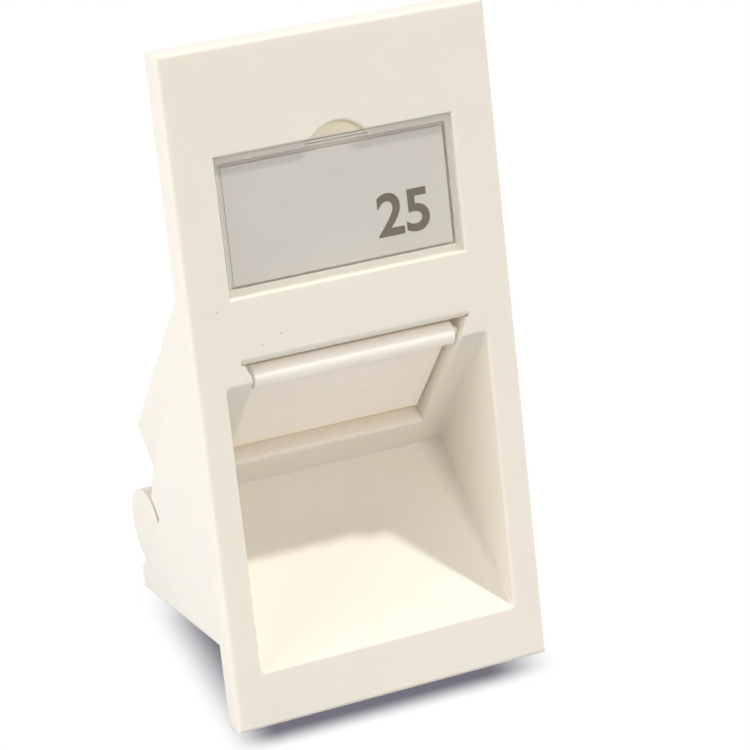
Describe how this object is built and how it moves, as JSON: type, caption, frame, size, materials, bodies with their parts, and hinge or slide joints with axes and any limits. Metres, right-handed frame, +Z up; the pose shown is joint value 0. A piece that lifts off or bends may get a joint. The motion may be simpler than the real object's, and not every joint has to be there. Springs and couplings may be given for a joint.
{
  "type": "snap-in keystone frame",
  "caption": "Angled snap-in frame that holds one keystone jack behind a sprung, hinged dust shutter, with a label window above the recess.",
  "frame": {"origin": "centre of the plate's back face, on the plane that seats on the rim of the mounting frame", "axes": "+X to the right seen from the front, +Y back into the wall, +Z up; the frame stands as it is mounted"},
  "size_m": [0.025, 0.0243, 0.05],
  "materials": {
    "frame_plastic": "warm white moulded plastic, softly glossy",
    "shutter_plastic": "warm white moulded plastic, softly glossy",
    "spring_wire": "drawn spring wire",
    "clear_cover": "clear, polished",
    "card": "smooth grey-white card"
  },
  "bodies": {
    "frame": {"frame_body": "frame_plastic", "window_cover": "clear_cover", "label_card": "card", "return_spring": "spring_wire"},
    "shutter": {"shutter_flap": "shutter_plastic"}
  },
  "joints": [
    {"name": "shutter_hinge", "type": "hinge", "parent": "frame", "child": "shutter", "pos_m": [0, -0.00066, 0.00087], "axis": [-1, 0, 0], "range_deg": [0, 105], "stiffness_Nm_per_rad": 0.0002, "springref_deg": -34.38, "deforming": ["return_spring"]}
  ]
}
